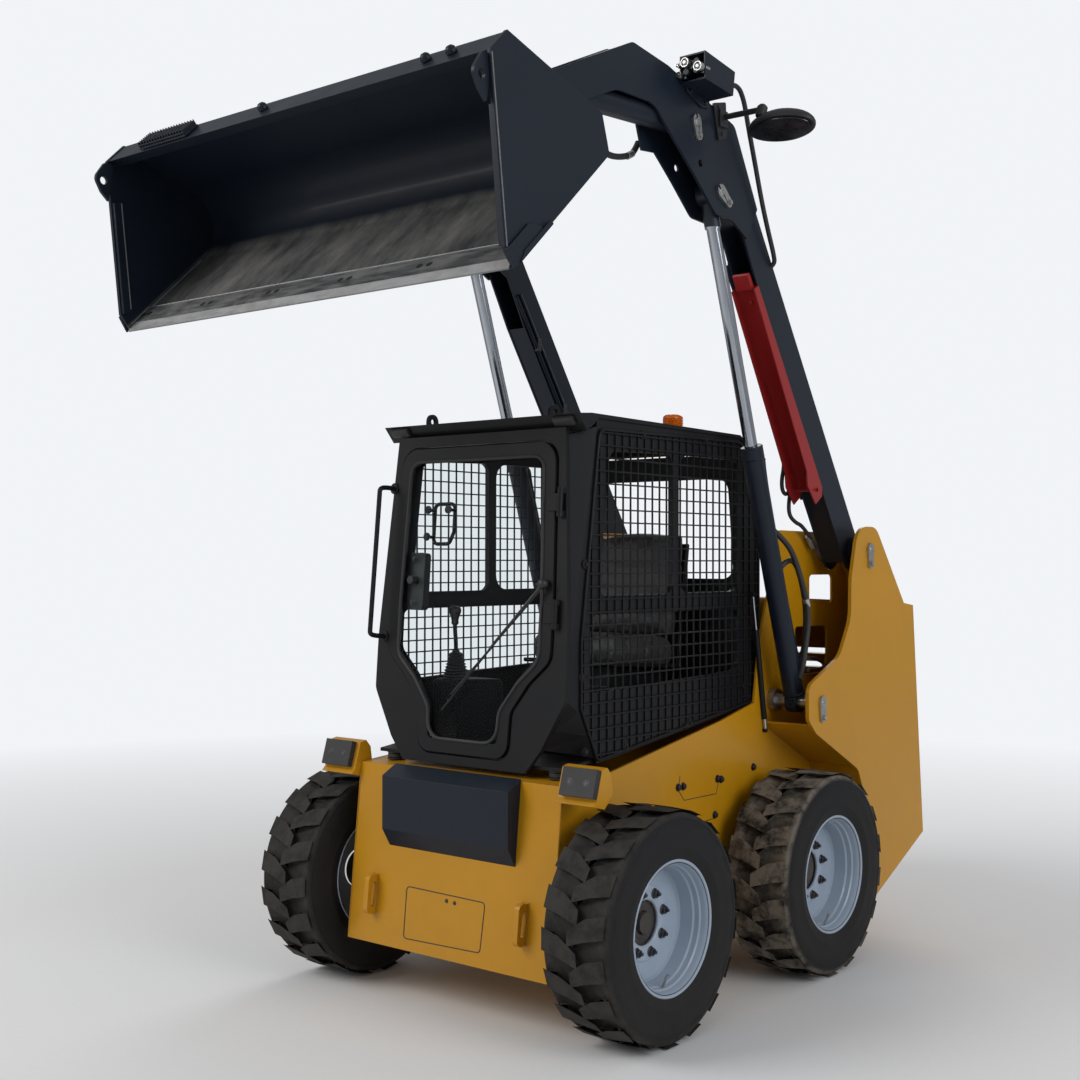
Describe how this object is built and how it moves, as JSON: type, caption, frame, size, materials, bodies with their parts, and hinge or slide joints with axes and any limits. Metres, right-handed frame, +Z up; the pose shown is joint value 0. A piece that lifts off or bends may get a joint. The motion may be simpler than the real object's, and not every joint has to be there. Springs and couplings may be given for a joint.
{
  "type": "skid steer loader",
  "caption": "Compact wheeled loader with a fenced cab, raised lift arms and a dumped bucket, for digging, loading and carrying loose material.",
  "frame": {"origin": "on the ground, in the middle of the machine's overall length and width", "axes": "+Z up, +Y towards the machine's rear, +X towards the machine's left side"},
  "size_m": [2.0106, 3.105, 3.318],
  "materials": {
    "chassis_paint": "satin golden yellow paint",
    "arm_paint": "satin blue-black paint",
    "cab_paint": "satin black paint",
    "worn_steel": "scoured bare steel",
    "pin_steel": "zinc plated",
    "glass": "clear",
    "rubber": "matt",
    "seat_cloth": "vinyl cover",
    "plastic": "grained",
    "lamp": "lens",
    "beacon_lens": "translucent amber",
    "lock_paint": "gloss red paint",
    "engine_iron": "painted castings",
    "chrome": "hard chrome",
    "tyre": "dusty rubber",
    "rim_paint": "pale grey-blue paint",
    "barrel_paint": "satin blue-black paint"
  },
  "bodies": {
    "chassis": {"main_frame": "chassis_paint", "front_panel": "chassis_paint", "front_cover": "arm_paint", "stop_brackets": "chassis_paint", "stop_pads": "rubber", "towers": "chassis_paint", "hood": "chassis_paint", "rear_bumper": "chassis_paint", "engine_block": "engine_iron", "axle_housings": "engine_iron", "chassis_pins": "pin_steel", "cab_front": "cab_paint", "cab_sides": "cab_paint", "cab_rear": "cab_paint", "cab_floor": "cab_paint", "cab_roof": "cab_paint", "side_mesh_left": "cab_paint", "side_mesh_right": "cab_paint", "seat": "seat_cloth", "controls": "plastic", "beacon": "beacon_lens", "work_lamps": "lamp", "cab_mounts": "rubber", "grab_handle": "cab_paint", "rear_hinges": "chassis_paint", "cab_hinges": "cab_paint", "cab_pillars": "cab_paint"},
    "boom": {"boom_arms": "arm_paint", "cross_tube": "arm_paint", "boom_pins": "pin_steel", "coupling_box": "arm_paint", "mirrors": "plastic", "arm_lock": "lock_paint"},
    "bucket": {"bucket_shell": "arm_paint", "cutting_edge": "worn_steel", "step_grating": "cab_paint", "coupler_frame": "arm_paint"},
    "cab_door": {"door_frame": "cab_paint", "door_glass": "glass", "wiper": "plastic"},
    "engine_door": {"rear_door": "chassis_paint"},
    "wheel_front_left": {"tyre_front_left": "tyre", "rim_front_left": "rim_paint"},
    "wheel_front_right": {"tyre_front_right": "tyre", "rim_front_right": "rim_paint"},
    "wheel_rear_left": {"tyre_rear_left": "tyre", "rim_rear_left": "rim_paint"},
    "wheel_rear_right": {"tyre_rear_right": "tyre", "rim_rear_right": "rim_paint"},
    "lift_barrel_left": {"lift_barrel_left": "barrel_paint"},
    "tilt_barrel_left": {"tilt_barrel_left": "barrel_paint"},
    "lift_rod_left": {"lift_rod_left": "chrome"},
    "tilt_rod_left": {"tilt_rod_left": "chrome"},
    "lift_barrel_right": {"lift_barrel_right": "barrel_paint"},
    "tilt_barrel_right": {"tilt_barrel_right": "barrel_paint"},
    "lift_rod_right": {"lift_rod_right": "chrome"},
    "tilt_rod_right": {"tilt_rod_right": "chrome"}
  },
  "joints": [
    {"name": "wheel_spin_front_left", "type": "hinge", "parent": "chassis", "child": "wheel_front_left", "pos_m": [0.677, -0.495, 0.3845], "axis": [1, 0, 0], "continuous": true},
    {"name": "wheel_spin_front_right", "type": "hinge", "parent": "chassis", "child": "wheel_front_right", "pos_m": [-0.677, -0.495, 0.3845], "axis": [1, 0, 0], "continuous": true},
    {"name": "wheel_spin_rear_left", "type": "hinge", "parent": "chassis", "child": "wheel_rear_left", "pos_m": [0.677, 0.578, 0.3845], "axis": [1, 0, 0], "continuous": true},
    {"name": "wheel_spin_rear_right", "type": "hinge", "parent": "chassis", "child": "wheel_rear_right", "pos_m": [-0.677, 0.578, 0.3845], "axis": [1, 0, 0], "continuous": true},
    {"name": "boom_lift", "type": "hinge", "parent": "chassis", "child": "boom", "pos_m": [0, 1.055, 1.618], "axis": [1, 0, 0], "range_deg": [0, 69]},
    {"name": "bucket_tilt", "type": "hinge", "parent": "boom", "child": "bucket", "pos_m": [0, -1.00106, 2.98104], "axis": [-1, 0, 0], "range_deg": [0, 125]},
    {"name": "lift_swing_left", "type": "hinge", "parent": "chassis", "child": "lift_barrel_left", "pos_m": [0.584, 0.655, 1.022], "axis": [1, 0, 0], "range_deg": [0, 66.86]},
    {"name": "lift_stroke_left", "type": "slide", "parent": "lift_barrel_left", "child": "lift_rod_left", "axis": [0, -0.318, 0.9481], "range_m": [-0.81113, 0]},
    {"name": "tilt_swing_left", "type": "hinge", "parent": "boom", "child": "tilt_barrel_left", "pos_m": [0.584, -0.135, 3.115], "axis": [-1, 0, 0], "range_deg": [0, 4.12]},
    {"name": "tilt_stroke_left", "type": "slide", "parent": "tilt_barrel_left", "child": "tilt_rod_left", "axis": [0, -0.998, -0.0639], "range_m": [-0.39429, 0]},
    {"name": "lift_swing_right", "type": "hinge", "parent": "chassis", "child": "lift_barrel_right", "pos_m": [-0.584, 0.655, 1.022], "axis": [1, 0, 0], "range_deg": [0, 66.86]},
    {"name": "lift_stroke_right", "type": "slide", "parent": "lift_barrel_right", "child": "lift_rod_right", "axis": [0, -0.318, 0.9481], "range_m": [-0.81113, 0]},
    {"name": "tilt_swing_right", "type": "hinge", "parent": "boom", "child": "tilt_barrel_right", "pos_m": [-0.584, -0.135, 3.115], "axis": [-1, 0, 0], "range_deg": [0, 4.12]},
    {"name": "tilt_stroke_right", "type": "slide", "parent": "tilt_barrel_right", "child": "tilt_rod_right", "axis": [0, -0.998, -0.0639], "range_m": [-0.39429, 0]},
    {"name": "cab_door_swing", "type": "hinge", "parent": "chassis", "child": "cab_door", "pos_m": [0.399, -0.61297, 1.46136], "axis": [0, 0.075, 0.9972], "range_deg": [0, 88]},
    {"name": "engine_door_swing", "type": "hinge", "parent": "chassis", "child": "engine_door", "pos_m": [-0.45, 1.49902, 0.95815], "axis": [0, -0.0961, 0.9954], "range_deg": [0, 95]}
  ],
  "couplings": [
    {"joint": "lift_swing_left", "follows": "boom_lift", "ratio": 0.9689},
    {"joint": "lift_stroke_left", "follows": "boom_lift", "m_per_rad": -0.67353},
    {"joint": "tilt_swing_left", "follows": "bucket_tilt", "ratio": 0.032981},
    {"joint": "tilt_stroke_left", "follows": "bucket_tilt", "m_per_rad": -0.18072},
    {"joint": "lift_swing_right", "follows": "boom_lift", "ratio": 0.9689},
    {"joint": "lift_stroke_right", "follows": "boom_lift", "m_per_rad": -0.67353},
    {"joint": "tilt_swing_right", "follows": "bucket_tilt", "ratio": 0.032981},
    {"joint": "tilt_stroke_right", "follows": "bucket_tilt", "m_per_rad": -0.18072}
  ]
}
